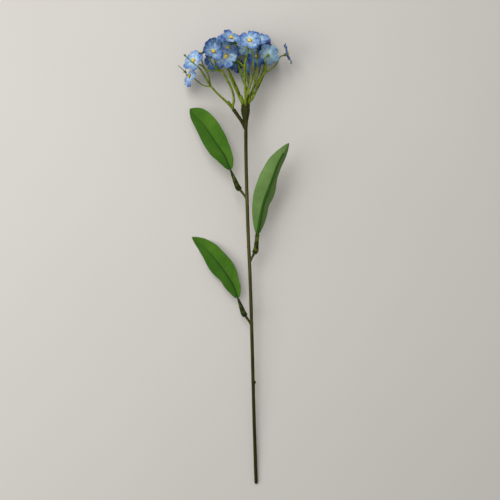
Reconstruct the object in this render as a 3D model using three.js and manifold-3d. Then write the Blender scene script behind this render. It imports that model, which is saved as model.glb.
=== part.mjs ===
// A forget-me-not spray laid flat: a moulded stem with clipped-on fabric flowers and leaves.
// Millimetres, +Z up. The stem lies along Y with its flowers towards +Y, and the part rests on z = 0.
import * as THREE from 'three';
import Module from 'manifold-3d';

const wasm = await Module();
wasm.setup();

// Driving dimensions
const CLEARANCE = 0.3;
const STEM_RADIUS = 2.25;
const CROWN_RADIUS = 5.6;
const COLLAR_RADIUS = 2.5;
const ROOT_RADIUS = 1.2;
const ROOT_DEPTH = 6;
const BORE_RADIUS = ROOT_RADIUS + 0.4;
const HUB_RADIUS = 2;
const LIMB_RADIUS = 1.45;
const STALK_RADIUS = 1;
const TIP_RADIUS = 0.8;
const CALYX_LENGTH = 3.8;
const CALYX_RADIUS = 2.1;
const PIN_RADIUS = 0.55;
const PIN_HEIGHT = 1.05;
const NECK_LENGTH = 8;
const PETAL_COUNT = 5;
const PETAL_LENGTH = 14.2;
const PETAL_HALF_WIDTH = 5.9;
const NOTCH_RADIUS = 4.3;
const HOLE_RADIUS = 1;
const PETAL_THICKNESS = 0.75;
const EYE_RADIUS = 2.5;
const EYE_POINT = 6.4;
const THREADED_BORE_RADIUS = 1.2;
const BLADE_THICKNESS = 0.8;
const PEG_RADIUS = 1.3;
const SOCKET_BORE_RADIUS = PEG_RADIUS + 0.4;
const SOCKET_BORE_DEPTH = 5;
const BULB_RADIUS = 3.6;

const COLOURS = {
  stem: new THREE.MeshStandardMaterial({ color: 0x3f4127, roughness: 0.5, metalness: 0 }),
  spray: new THREE.MeshStandardMaterial({ color: 0x6f8f35, roughness: 0.55, metalness: 0 }),
  petal: new THREE.MeshStandardMaterial({ color: 0x6f92d0, roughness: 0.85, metalness: 0 }),
  eye: new THREE.MeshStandardMaterial({ color: 0xe3c52a, roughness: 0.5, metalness: 0 }),
  blade: new THREE.MeshStandardMaterial({ color: 0x47802a, roughness: 0.75, metalness: 0 }),
  socket: new THREE.MeshStandardMaterial({ color: 0x2f4a22, roughness: 0.5, metalness: 0 }),
};

// The main stem, from its cut end on the surface up to the crown
const STEM_LINE = [
  [28.2, -298, 2.25],
  [25.6, -216, 7.8],
  [23.3, -130, 13.9],
  [20.5, -34, 20.6],
  [17, 51, 26.5],
  [14.8, 134, 32.3],
  [14.6, 172, 35],
  [14.2, 190, 36.8],
];
const CROWN_CENTRE = [14.2, 190, 36.8];
const CROWN_LENGTH = 8;
const BRANCH_LINE = [
  [14.6, 170, 35],
  [9.5, 180.5, 35.6],
  [3.5, 189.5, 36.3],
  [-0.4, 195, 36.8],
];
const STUBS = [
  { from: [24.4, -166, 11.3], to: [27.3, -160.5, 12.2], radius: 1.5 },
  { from: [18.4, 18, 24.3], to: [15.6, 18.5, 25], radius: 0.9 },
];

// Where each spray is seated: the mouth of its bore and the way that it points
const SEATS = {
  spray_left: { mouth: [-1.6, 196.7, 37], way: [-0.58, 0.81, 0.03] },
  spray_front: { mouth: [14.2, 199.5, 40.8], way: [0, 0.99, 0.14] },
  spray_leaning: { mouth: [10.7, 202, 37.6], way: [-0.16, 0.98, 0] },
  spray_right: { mouth: [17.8, 203, 37.6], way: [0.16, 0.98, 0] },
  spray_back: { mouth: [14.2, 202, 34.8], way: [0, 0.98, -0.14] },
};

// Each bloom: its calyx rim, the way it faces, its turn in degrees about that way, and how far its
// petals' tips bend forward
const BLOOMS = [
  { at: [-52.4, 257.7, 40.5], faces: [-0.5, 0.3, 0.8], turn: 7 },
  { at: [-58.2, 241.8, 24], faces: [-0.82, 0.29, 0.49], turn: 54, bend: -3 },
  { at: [-44.3, 270.8, 24.5], faces: [-0.1, 0.93, 0.35], turn: 24 },
  { at: [-27.2, 263.7, 64], faces: [0.5, 0.3, 0.81], turn: 66, bend: 1.5 },
  { at: [-26.2, 271, 49.5], faces: [-0.45, 0.6, -0.66], turn: 40 },
  { at: [-9.5, 277.6, 28.5], faces: [0.4, 0.15, 0.9], turn: 62 },
  { at: [-10.8, 263.5, 48], faces: [0.05, -0.58, 0.81], turn: 69, bend: 2.5 },
  { at: [-25.4, 262.6, 20.5], faces: [-0.2, 0.05, 0.98], turn: 31 },
  { at: [19.5, 276, 68], faces: [0.1, 0.4, 0.91], turn: 70 },
  { at: [-4.5, 286.1, 43], faces: [0.15, 0.7, 0.7], turn: 41, bend: 0.5 },
  { at: [36, 276.7, 10], faces: [0.2, 0.1, -0.97], turn: 40 },
  { at: [-18.6, 287.8, 12], faces: [-0.2, 0.45, 0.87], turn: 12 },
  { at: [17, 283, 11], faces: [0.1, 0.3, 0.95], turn: 30 },
  { at: [30.2, 285.6, 38], faces: [0.1, 0.66, 0.74], turn: 4 },
  { at: [33, 291, 19], faces: [0.1, 0.6, 0.8], turn: 52 },
  { at: [43.1, 263.3, 48.4], faces: [0.4, 0.58, -0.71], turn: 36, bend: 1 },
  { at: [28.8, 267.2, 28], faces: [0.1, 0.1, 0.99], turn: 54 },
  { at: [67.2, 270, 28.5], faces: [0.93, 0.35, 0.12], turn: 20 },
  { at: [12.3, 256.2, 20], faces: [0.9, -0.1, -0.4], turn: 12 },
  { at: [17.5, 272.4, 52], faces: [0, 0.8, -0.6], turn: 54 },
  { at: [1.4, 283.7, 18.5], faces: [0.1, 0.05, 0.99], turn: 66 },
  { at: [47, 273, 26], faces: [0.85, 0.2, 0.3], turn: 0 },
  { at: [0.4, 263.5, 14], faces: [-0.6, -0.3, -0.74], turn: 10 },
];
const SLID_BLOOM = 2;
// One petal of one bloom that is folded further forward
const FOLDED_PETAL = { bloom: 7, petal: 0, bend: 12 };

// The stalks of each spray. A limb carries others, and a stalk ends in the calyx of its bloom.
const SPRAYS = {
  spray_left: {
    limbs: [
      [[-3, 198.7, 37], [-12.4, 208, 36], [-21.8, 217, 34], [-27.2, 223, 33], [-32, 228.5, 32]],
      [[-2.4, 199.4, 37.4], [-0.9, 208.6, 38], [-2.8, 219.6, 39], [-7.4, 230, 40],
        [-14.3, 242.2, 41.5], [-16.1, 245, 42]],
    ],
    stalks: [
      { bloom: 1, points: [[-31.5, 228, 32], [-34.5, 242.6, 32], [-39.5, 250.5, 32], [-44, 255, 32.5]] },
      { bloom: 3, points: [[-16.1, 245, 42], [-26, 246, 40], [-36, 248.5, 34], [-41, 256, 22.5]] },
      { bloom: 4, points: [[-16.1, 245, 42], [-24.5, 249, 46], [-31, 256, 53]] },
      { bloom: 5, points: [[-16.1, 245, 42], [-22, 250, 39], [-25.5, 258, 43]] },
      { bloom: 8, points: [[-15.6, 244, 41.5], [-20.5, 247.5, 32], [-23.2, 251.5, 24], [-24, 257, 16]] },
    ],
    bare: [
      [[-31.5, 228, 32], [-38.6, 238.7, 38.5], [-42.8, 244.5, 47], [-46.2, 247.6, 53],
        [-52, 252, 55], [-57.5, 256.8, 54.5], [-62, 261.2, 53.5]],
    ],
    threaded: [[-30.5, 227, 32], [-42.5, 231, 23], [-53.4, 240.1, 20.6], [-58.2, 241.8, 24],
      [-62.9, 243.5, 27.3], [-66, 248, 30], [-73.5, 254, 35]],
  },
  spray_front: {
    limbs: [
      [[14.2, 204, 41], [14.1, 219.5, 44], [13.3, 238.1, 49.5], [12.7, 248.3, 52]],
    ],
    stalks: [
      { bloom: 6, points: [[12.7, 248.3, 52], [7, 256, 42], [1.5, 262, 26], [-7.5, 271.5, 19.5]] },
      { bloom: 9, points: [[14.2, 206, 41.5], [20, 223.5, 45], [22.6, 238.4, 48], [24, 250, 52],
        [24, 262, 56]] },
      { bloom: 10, points: [[14.2, 206, 41.5], [17.3, 222, 44], [16, 240, 43], [13.5, 258, 38],
        [12, 270, 33], [9, 280, 34], [2, 283, 34]] },
      { bloom: 20, points: [[12.7, 248.3, 52], [15.2, 256.7, 56]] },
    ],
  },
  spray_leaning: {
    limbs: [
      [[10.4, 204, 37.6], [6, 212.4, 37.6], [2.8, 222.3, 37], [-0.6, 230.5, 36.5], [-4.9, 237, 36]],
    ],
    stalks: [
      { bloom: 7, points: [[6, 212.4, 37.6], [-1, 226, 41], [-6.5, 240, 40], [-11, 257, 36]] },
      { bloom: 12, points: [[10.4, 205, 37.6], [5, 222, 31], [-3, 240, 27], [-9, 254, 18],
        [-13, 265, 10], [-15.5, 275, 6]] },
      { bloom: 21, points: [[10, 207, 37.6], [3.5, 222, 35], [-3, 238, 32], [-9.5, 252, 20],
        [-9.5, 266, 11], [-8, 277, 8]] },
    ],
  },
  spray_right: {
    limbs: [
      [[17.9, 205, 37.6], [22.6, 209.4, 38], [26.5, 217.4, 38], [30, 227.2, 37.5], [35.9, 239.2, 37],
        [39.9, 244.6, 37]],
    ],
    stalks: [
      { bloom: 14, points: [[22.6, 209.4, 38], [26.5, 235.5, 41], [29.5, 250, 40], [29.4, 266, 36.5]] },
      { bloom: 15, points: [[18.1, 206.5, 37.6], [24, 222, 34], [33, 240, 29], [38.5, 254, 21],
        [40, 268, 18], [37.5, 281, 15]] },
      { bloom: 16, points: [[39.9, 244.6, 37], [41, 250, 46]] },
      { bloom: 18, points: [[39.9, 244.6, 37], [48.2, 249.4, 35], [54.5, 256.5, 31]] },
      { bloom: 22, points: [[22.6, 209.4, 38], [31, 226, 34], [38, 243, 32], [39.5, 255, 27],
        [39, 263, 24]] },
    ],
  },
  spray_back: {
    limbs: [
      [[14.2, 204, 34.4], [14.4, 215, 32.5], [14.6, 226, 31]],
    ],
    stalks: [
      { bloom: 13, points: [[14.4, 215, 32.5], [18.5, 236, 24], [18.5, 250, 15], [17.5, 266, 5]] },
      { bloom: 17, points: [[14.2, 205, 34.4], [18, 220, 30], [23, 238, 24], [27, 254, 18]] },
      { bloom: 19, points: [[14.6, 226, 31], [12, 240, 29], [8, 250, 25]] },
      { bloom: 23, points: [[14.6, 226, 31], [9, 240, 26], [5.5, 254, 22]] },
      { bloom: 11, points: [[14.3, 206, 34.4], [22, 222, 27], [29, 240, 22], [33, 254, 18]] },
    ],
  },
};

// The leaves. Half widths are given at even steps from base to tip, on the left and on the right of
// the rib as seen from the blade's front face. The two folds are in degrees.
const LEAVES = [
  {
    joint: [15.6, 82, 28.7],
    mouth: [7.2, 92.4, 28.4],
    rib: [[-5.9, 119.8, 25.8], [-13, 137.6, 24], [-22.2, 151.2, 21.5], [-31.5, 165.3, 18.5],
      [-38.9, 176.4, 16], [-46.5, 186.6, 13], [-60.5, 203, 8]],
    left: [2.6, 9.2, 13, 15, 15.2, 14.8, 13.4, 11.8, 10, 7, 0],
    right: [3, 8.2, 10.8, 13.9, 16, 17.1, 17.4, 16.8, 15.2, 11, 0],
    front: [0, 0, 1],
    fold: [12, 12],
    wave: 0.6,
    ribRadii: [1.04, 0.48],
  },
  {
    joint: [19.2, -2.7, 22.8],
    mouth: [25.4, 9.4, 25.4],
    rib: [[30, 36, 30.5], [34, 57.8, 34], [38.3, 77.1, 38], [44.5, 94.1, 41], [49.9, 108.6, 44],
      [55.1, 123.2, 46], [59.4, 131.9, 47], [69.9, 151.3, 48]],
    left: [3, 9, 11, 11, 14, 12.5, 8.5, 8, 8, 6, 0],
    right: [3, 8.3, 12, 14.3, 16.5, 17.3, 17, 15, 12, 7, 0],
    front: [0, 0, -1],
    fold: [48, 6],
    wave: 1.2,
    ribRadii: [2.2, 0.8],
  },
  {
    joint: [22, -85, 17],
    mouth: [14.2, -73.6, 16.8],
    rib: [[3.6, -49, 14.7], [-1.1, -35.7, 12.6], [-8.8, -22.2, 10.4], [-17.4, -10.4, 8], [-26, 0.6, 5.6],
      [-34.7, 10.9, 3.2], [-43.2, 19.5, 1.2], [-50, 25, 0.8], [-58.4, 31.5, 0.8]],
    left: [3, 8.8, 11.3, 11.6, 13.6, 14.4, 13, 10.6, 8.4, 5.2, 0],
    right: [3, 8, 10.5, 14.1, 16.3, 15.8, 15, 14, 11, 7, 0],
    front: [0, 0, 1],
    fold: [10, 10],
    wave: 0.7,
    ribRadii: [1.04, 0.48],
    flatFrom: 0.82,
  },
];

const toVector = (point) => new THREE.Vector3(...point);

function wayOf(values) {
  return toVector(values).normalize();
}

// The way that the stem's peg points into a leaf's socket
function pegWay(leaf) {
  return toVector(leaf.mouth).sub(toVector(leaf.joint)).normalize();
}

// A closed body from a list of vectors and a list of triangles
function bodyFrom(vertices, triangles) {
  const geometry = new THREE.BufferGeometry();
  const places = vertices.flatMap((vertex) => vertex.toArray());
  geometry.setAttribute('position', new THREE.Float32BufferAttribute(places, 3));
  geometry.setIndex(triangles.flat());
  return geometry;
}

function toSolid(geometry) {
  const vertProperties = new Float32Array(geometry.getAttribute('position').array);
  const triVerts = new Uint32Array(geometry.getIndex().array);
  return new wasm.Manifold(new wasm.Mesh({ numProp: 3, vertProperties, triVerts }));
}

function fromSolid(solid) {
  const mesh = solid.getMesh();
  const geometry = new THREE.BufferGeometry();
  geometry.setAttribute('position', new THREE.Float32BufferAttribute(mesh.vertProperties, 3));
  geometry.setIndex([...mesh.triVerts]);
  return geometry;
}

function join(geometries) {
  return geometries.map(toSolid).reduce((whole, part) => whole.add(part));
}

function cut(solid, geometries) {
  return geometries.map(toSolid).reduce((whole, tool) => whole.subtract(tool), solid);
}

// Points along a smooth curve through the given ones, with a few steps for each span
function smoothLine(points, stepsPerSpan) {
  const curve = new THREE.CatmullRomCurve3(points.map(toVector), false, 'centripetal');
  return curve.getPoints((points.length - 1) * stepsPerSpan);
}

// A round bar through stations, each with its place and radius, closed at both ends
function sweep(stations, sides) {
  const vertices = [];
  const triangles = [];
  const last = stations.length - 1;
  const tangents = stations.map((station, i) => {
    const before = stations[Math.max(i - 1, 0)].at;
    const after = stations[Math.min(i + 1, last)].at;
    return after.clone().sub(before).normalize();
  });
  const side = new THREE.Vector3(0, 0, 1).cross(tangents[0]);
  if (side.length() < 0.1) side.set(1, 0, 0);
  side.normalize();
  const turn = new THREE.Quaternion();
  stations.forEach((station, i) => {
    if (i > 0) side.applyQuaternion(turn.setFromUnitVectors(tangents[i - 1], tangents[i]));
    const up = tangents[i].clone().cross(side);
    for (let k = 0; k < sides; k += 1) {
      const angle = (2 * Math.PI * k) / sides;
      vertices.push(
        station.at.clone()
          .addScaledVector(side, station.radius * Math.cos(angle))
          .addScaledVector(up, station.radius * Math.sin(angle)),
      );
    }
  });
  for (let i = 0; i < last; i += 1) {
    for (let k = 0; k < sides; k += 1) {
      const a = i * sides + k;
      const b = i * sides + ((k + 1) % sides);
      triangles.push([a, b, b + sides], [a, b + sides, a + sides]);
    }
  }
  for (let k = 1; k < sides - 1; k += 1) {
    triangles.push([0, k + 1, k]);
    triangles.push([last * sides, last * sides + k, last * sides + k + 1]);
  }
  return bodyFrom(vertices, triangles);
}

// A bar of evenly changing radius along a smooth line
function taper(points, startRadius, endRadius, stepsPerSpan, sides) {
  const line = smoothLine(points, stepsPerSpan);
  const stations = line.map((at, i) => ({
    at,
    radius: THREE.MathUtils.lerp(startRadius, endRadius, i / (line.length - 1)),
  }));
  return sweep(stations, sides);
}

function pin(start, end, radius, sides) {
  return sweep([{ at: start, radius }, { at: end, radius }], sides);
}

// Thickens an open sheet into a closed body. offsets hold each vertex's step to the other face.
function thicken(vertices, triangles, offsets) {
  const count = vertices.length;
  const others = vertices.map((vertex, i) => vertex.clone().add(offsets[i]));
  const faces = [...triangles];
  triangles.forEach(([a, b, c]) => faces.push([a + count, c + count, b + count]));
  const edges = new Map();
  triangles.forEach(([a, b, c]) => {
    [[a, b], [b, c], [c, a]].forEach(([from, to]) => edges.set(`${from} ${to}`, [from, to]));
  });
  edges.forEach(([from, to]) => {
    if (edges.has(`${to} ${from}`)) return;
    faces.push([to, from, from + count], [to, from + count, to + count]);
  });
  return bodyFrom([...vertices, ...others], faces);
}

// How far one petal of one bloom lifts at its tip, so that no two blooms are alike
function petalLift(bloom, petal) {
  const { bend = 0 } = BLOOMS[bloom - 1];
  const isFolded = bloom === FOLDED_PETAL.bloom && petal === FOLDED_PETAL.petal;
  return bend + (isFolded ? FOLDED_PETAL.bend : 0) + 1.1 * Math.sin(2.4 * bloom + 1.9 * petal);
}

// The five-petalled sheet, facing +Z, with its hole over the calyx rim at the origin
function corollaGeometry(bloom) {
  const vertices = [];
  const triangles = [];
  const add = (radius, angle, height) => {
    const top = height + PETAL_THICKNESS;
    vertices.push(new THREE.Vector3(radius * Math.cos(angle), radius * Math.sin(angle), top));
    return vertices.length - 1;
  };
  const sector = (2 * Math.PI) / PETAL_COUNT;
  const notches = [];
  const middles = [];
  const holeAtNotch = [];
  const holeAtMiddle = [];
  for (let petal = 0; petal < PETAL_COUNT; petal += 1) {
    const angle = petal * sector;
    holeAtMiddle.push(add(HOLE_RADIUS, angle, CLEARANCE));
    holeAtNotch.push(add(HOLE_RADIUS, angle + sector / 2, CLEARANCE));
    middles.push(add(NOTCH_RADIUS * 0.9, angle, 1));
    notches.push(add(NOTCH_RADIUS, angle + sector / 2, 1.4));
  }
  for (let petal = 0; petal < PETAL_COUNT; petal += 1) {
    const angle = petal * sector;
    const before = (petal + PETAL_COUNT - 1) % PETAL_COUNT;
    const lift = petalLift(bloom, petal);
    const onPetal = (along, across, height) => add(
      Math.hypot(along, across),
      angle + Math.atan2(across, along),
      height + (lift * (along - NOTCH_RADIUS)) / (PETAL_LENGTH - NOTCH_RADIUS),
    );
    const outline = [
      notches[before],
      onPetal(PETAL_LENGTH * 0.53, -PETAL_HALF_WIDTH * 0.86, 2.5),
      onPetal(PETAL_LENGTH * 0.79, -PETAL_HALF_WIDTH, 2.9),
      onPetal(PETAL_LENGTH * 0.955, -PETAL_HALF_WIDTH * 0.58, 2.7),
      onPetal(PETAL_LENGTH, 0, 2.3),
      onPetal(PETAL_LENGTH * 0.955, PETAL_HALF_WIDTH * 0.58, 2.7),
      onPetal(PETAL_LENGTH * 0.79, PETAL_HALF_WIDTH, 2.9),
      onPetal(PETAL_LENGTH * 0.53, PETAL_HALF_WIDTH * 0.86, 2.5),
      notches[petal],
      middles[petal],
    ];
    const heart = onPetal(PETAL_LENGTH * 0.66, 0, 1.8);
    outline.forEach((corner, i) => {
      triangles.push([heart, corner, outline[(i + 1) % outline.length]]);
    });
    triangles.push([holeAtMiddle[petal], middles[petal], notches[petal]]);
    triangles.push([holeAtMiddle[petal], notches[petal], holeAtNotch[petal]]);
    triangles.push([holeAtMiddle[petal], holeAtNotch[before], notches[before]]);
    triangles.push([holeAtMiddle[petal], notches[before], middles[petal]]);
  }
  const down = new THREE.Vector3(0, 0, -PETAL_THICKNESS);
  return thicken(vertices, triangles, vertices.map(() => down));
}

// The bead at the middle of a bloom with its small point, facing +Z
function eyeGeometry(isThreaded) {
  const base = PIN_HEIGHT + CLEARANCE;
  const inner = isThreaded ? THREADED_BORE_RADIUS : 0;
  const profile = [
    new THREE.Vector2(inner, base),
    new THREE.Vector2(THREADED_BORE_RADIUS + 0.1, base),
    new THREE.Vector2(EYE_RADIUS, base + 0.75),
    new THREE.Vector2(EYE_RADIUS * 0.8, base + 2),
  ];
  if (isThreaded) {
    profile.push(new THREE.Vector2(inner, base + 2.4));
    profile.push(new THREE.Vector2(inner, base));
  } else {
    profile.push(new THREE.Vector2(EYE_RADIUS * 0.28, base + 2.8));
    profile.push(new THREE.Vector2(0, EYE_POINT));
  }
  return new THREE.LatheGeometry(profile, 8);
}

// A stalk that runs on into its calyx cup and the thin pin that the bloom is threaded on
function stalkGeometry({ bloom, points }) {
  const { at, faces } = BLOOMS[bloom - 1];
  const rim = toVector(at);
  const way = wayOf(faces);
  const along = (distance) => rim.clone().addScaledVector(way, distance);
  const neck = along(-NECK_LENGTH).toArray();
  const foot = along(-CALYX_LENGTH).toArray();
  const line = smoothLine([...points, neck, foot], 2);
  const stations = line.map((place, i) => ({
    at: place,
    radius: THREE.MathUtils.lerp(STALK_RADIUS, TIP_RADIUS, i / (line.length - 1)),
  }));
  stations.push({ at: along(-CALYX_LENGTH * 0.45), radius: CALYX_RADIUS * 0.8 });
  stations.push({ at: along(-0.05), radius: CALYX_RADIUS });
  stations.push({ at: along(0), radius: PIN_RADIUS });
  stations.push({ at: along(PIN_HEIGHT), radius: PIN_RADIUS });
  return sweep(stations, 6);
}

// A stalk that ends in an empty knob
function bareStalkGeometry(points) {
  const line = smoothLine(points, 2);
  const last = line.length - 1;
  const stations = line.map((at, i) => ({
    at,
    radius: THREE.MathUtils.lerp(LIMB_RADIUS, TIP_RADIUS, Math.min(1, (1.4 * i) / last)),
  }));
  const way = line[last].clone().sub(line[last - 1]).normalize();
  stations.push({ at: line[last].clone().addScaledVector(way, 1.2), radius: 1.5 });
  stations.push({ at: line[last].clone().addScaledVector(way, 2.4), radius: 1.3 });
  stations.push({ at: line[last].clone().addScaledVector(way, 3.2), radius: 0.5 });
  return sweep(stations, 6);
}

// The stalk that the slid bloom is threaded on: thin through the bloom, with a small bare calyx after it
function threadedStalkGeometry(points) {
  const line = smoothLine(points, 3);
  const bloomAt = toVector(BLOOMS[SLID_BLOOM - 1].at);
  const calyxAt = toVector(points[points.length - 2]);
  const stations = line.map((at, i) => {
    const fromBloom = at.distanceTo(bloomAt);
    const fromCalyx = at.distanceTo(calyxAt);
    let radius = THREE.MathUtils.lerp(STALK_RADIUS, PIN_RADIUS, Math.min(1, (2 * i) / line.length));
    if (fromBloom < 3) radius = PIN_RADIUS;
    if (fromCalyx < 1) radius = 1.6;
    return { at, radius };
  });
  return sweep(stations, 6);
}

function sprayGeometry(name) {
  const { limbs, stalks, bare = [], threaded } = SPRAYS[name];
  const mouth = toVector(SEATS[name].mouth);
  const way = wayOf(SEATS[name].way);
  const along = (distance) => mouth.clone().addScaledVector(way, distance);
  const pieces = [
    pin(along(CLEARANCE - ROOT_DEPTH), along(2), ROOT_RADIUS, 8),
    sweep([
      { at: along(CLEARANCE), radius: ROOT_RADIUS },
      { at: along(1.2), radius: HUB_RADIUS },
      { at: along(7), radius: HUB_RADIUS * 0.92 },
      { at: along(10), radius: HUB_RADIUS * 0.55 },
    ], 8),
    ...limbs.map((points) => taper(points, LIMB_RADIUS + 0.15, LIMB_RADIUS - 0.2, 2, 6)),
    ...stalks.map(stalkGeometry),
    ...bare.map(bareStalkGeometry),
  ];
  if (threaded) pieces.push(threadedStalkGeometry(threaded));
  return fromSolid(join(pieces));
}

function stemGeometry() {
  const line = smoothLine(STEM_LINE, 1);
  const start = line[0].clone();
  const way = line[1].clone().sub(start).normalize();
  const stations = [
    { at: start.clone().addScaledVector(way, -1.6), radius: STEM_RADIUS * 0.6 },
    ...line.map((at) => ({ at, radius: STEM_RADIUS })),
  ];
  const crown = toVector(CROWN_CENTRE);
  const crownTop = crown.clone().add(new THREE.Vector3(0, CROWN_LENGTH, 0.8));
  const pieces = [
    sweep(stations, 12),
    sweep([
      { at: toVector(STEM_LINE[6]), radius: STEM_RADIUS * 0.98 },
      { at: crown.clone().add(new THREE.Vector3(0.2, -8, -0.7)), radius: 3.2 },
      { at: crown, radius: CROWN_RADIUS * 0.88 },
      { at: crownTop, radius: CROWN_RADIUS },
    ], 12),
    taper(BRANCH_LINE, STEM_RADIUS * 0.9, COLLAR_RADIUS, 1, 8),
    ...STUBS.map(({ from, to, radius }) => pin(toVector(from), toVector(to), radius, 6)),
  ];
  const bores = [];
  Object.values(SEATS).forEach((seat) => {
    const mouth = toVector(seat.mouth);
    const seatWay = wayOf(seat.way);
    const along = (distance) => mouth.clone().addScaledVector(seatWay, distance);
    pieces.push(pin(along(-ROOT_DEPTH - 2), mouth, COLLAR_RADIUS, 10));
    bores.push(pin(along(-ROOT_DEPTH), along(1), BORE_RADIUS, 8));
  });
  LEAVES.forEach((leaf) => {
    const mouth = toVector(leaf.mouth);
    const pegEnd = mouth.clone().addScaledVector(pegWay(leaf), SOCKET_BORE_DEPTH - CLEARANCE);
    const shoulder = mouth.clone().addScaledVector(pegWay(leaf), -0.8);
    pieces.push(pin(toVector(leaf.joint), pegEnd, PEG_RADIUS, 8));
    pieces.push(pin(toVector(leaf.joint), shoulder, PEG_RADIUS * 1.25, 8));
  });
  return fromSolid(cut(join(pieces), bores));
}

// The front face of a blade: points in rows from base to tip, and the way each row faces
function bladeRows(leaf) {
  const curve = new THREE.CatmullRomCurve3(leaf.rib.map(toVector), false, 'centripetal');
  const rows = leaf.left.length - 1;
  const sections = [-1, -0.55, 0, 0.55, 1];
  const front = wayOf(leaf.front);
  const points = [];
  for (let row = 0; row <= rows; row += 1) {
    const share = row / rows;
    const middle = curve.getPointAt(share);
    const along = curve.getTangentAt(share);
    const toRight = along.clone().cross(front).normalize();
    const up = toRight.clone().cross(along).normalize();
    const isFlat = leaf.flatFrom !== undefined && share > leaf.flatFrom;
    points.push(sections.map((section) => {
      const isLeft = section < 0;
      const width = (isLeft ? leaf.left : leaf.right)[row] * Math.abs(section);
      const fold = THREE.MathUtils.degToRad(leaf.fold[isLeft ? 0 : 1]);
      const ripple = leaf.wave * Math.abs(section) * Math.sin(9 * share + (isLeft ? 0 : 2));
      const across = Math.sign(section) * width * Math.cos(fold);
      const rise = width * Math.sin(fold) + (width > 0 ? ripple : 0);
      const point = middle.clone();
      if (isFlat) {
        point.addScaledVector(toRight, Math.sign(section) * width);
        point.z = BLADE_THICKNESS;
        return point;
      }
      return point.addScaledVector(toRight, across).addScaledVector(up, rise);
    }));
  }
  return points;
}

function bladeGeometry(leaf) {
  const rows = bladeRows(leaf);
  const columns = rows[0].length;
  const vertices = rows.slice(0, -1).flat();
  const tip = vertices.length;
  vertices.push(rows[rows.length - 1][2]);
  const triangles = [];
  for (let row = 0; row < rows.length - 2; row += 1) {
    for (let column = 0; column < columns - 1; column += 1) {
      const a = row * columns + column;
      const b = a + 1;
      triangles.push([a, b, b + columns], [a, b + columns, a + columns]);
    }
  }
  const lastRow = (rows.length - 2) * columns;
  for (let column = 0; column < columns - 1; column += 1) {
    triangles.push([lastRow + column, lastRow + column + 1, tip]);
  }
  const sheet = bodyFrom(vertices, triangles);
  sheet.computeVertexNormals();
  const normals = sheet.getAttribute('normal');
  const offsets = vertices.map((vertex, i) => {
    const normal = new THREE.Vector3().fromBufferAttribute(normals, i);
    const isOnSurface = leaf.flatFrom !== undefined && vertex.z <= BLADE_THICKNESS + 1e-6;
    if (isOnSurface) normal.set(0, 0, 1);
    return normal.multiplyScalar(-BLADE_THICKNESS);
  });
  return thicken(vertices, triangles, offsets);
}

// The moulded leaf stalk: a bulb with a bore for the stem's peg, a neck, and the rib behind the blade
function socketGeometry(leaf) {
  const mouth = toVector(leaf.mouth);
  const way = pegWay(leaf);
  const curve = new THREE.CatmullRomCurve3(leaf.rib.map(toVector), false, 'centripetal');
  const front = wayOf(leaf.front);
  const ribAt = (share) => {
    const radius = THREE.MathUtils.lerp(...leaf.ribRadii, share);
    const tangent = curve.getTangentAt(share);
    const up = tangent.clone().cross(front).cross(tangent).normalize();
    const depth = BLADE_THICKNESS + CLEARANCE * 1.4 + radius;
    return { at: curve.getPointAt(share).addScaledVector(up, -depth), radius };
  };
  const ribEnd = leaf.flatFrom === undefined ? 0.88 : leaf.flatFrom - 0.2;
  const shares = [0, 0.15, 0.3, 0.45, 0.6, 0.75, ribEnd].filter((share) => share <= ribEnd);
  const ribStations = shares.map(ribAt);
  const bulb = mouth.clone().addScaledVector(way, 5);
  const neck = ribStations[0].at.clone().addScaledVector(curve.getTangentAt(0), -2);
  const neckRadius = leaf.ribRadii[0] * 1.15;
  const stations = [
    { at: mouth, radius: BULB_RADIUS * 0.62 },
    { at: mouth.clone().addScaledVector(way, 1.8), radius: BULB_RADIUS * 0.92 },
    { at: bulb, radius: BULB_RADIUS },
    { at: bulb.clone().lerp(neck, 0.35), radius: Math.max(BULB_RADIUS * 0.72, neckRadius * 1.1) },
    { at: bulb.clone().lerp(neck, 0.7), radius: Math.max(BULB_RADIUS * 0.44, neckRadius) },
    { at: neck, radius: neckRadius },
    ...ribStations,
  ];
  const bore = pin(
    mouth.clone().addScaledVector(way, -1),
    mouth.clone().addScaledVector(way, SOCKET_BORE_DEPTH),
    SOCKET_BORE_RADIUS,
    8,
  );
  return fromSolid(cut(toSolid(sweep(stations, 8)), [bore]));
}

function named(name, geometry, material) {
  const mesh = new THREE.Mesh(geometry, material);
  mesh.name = name;
  return mesh;
}

const part = new THREE.Group();
part.add(named('main_stem', stemGeometry(), COLOURS.stem));
Object.keys(SPRAYS).forEach((name) => part.add(named(name, sprayGeometry(name), COLOURS.spray)));

BLOOMS.forEach(({ at, faces, turn }, i) => {
  const number = String(i + 1).padStart(2, '0');
  const head = new THREE.Group();
  head.position.set(...at);
  head.quaternion.setFromUnitVectors(new THREE.Vector3(0, 0, 1), wayOf(faces));
  const corolla = named(`corolla_${number}`, corollaGeometry(i + 1), COLOURS.petal);
  corolla.rotation.z = THREE.MathUtils.degToRad(turn);
  const eye = named(`eye_${number}`, eyeGeometry(i + 1 === SLID_BLOOM), COLOURS.eye);
  eye.rotation.x = Math.PI / 2;
  head.add(corolla, eye);
  part.add(head);
});

LEAVES.forEach((leaf, i) => {
  part.add(named(`leaf_blade_${i + 1}`, bladeGeometry(leaf), COLOURS.blade));
  part.add(named(`leaf_socket_${i + 1}`, socketGeometry(leaf), COLOURS.socket));
});

export default part;
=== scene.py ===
"""An artificial forget-me-not spray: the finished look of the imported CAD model.

Shapes are worked out in millimetres, in the frame of the CAD model, and become metres as each
piece is made. Every CAD node is replaced by one finer piece of the same form.
"""
from collections import namedtuple
import math

import bpy
from mathutils import Euler, Matrix, Vector, noise


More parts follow.
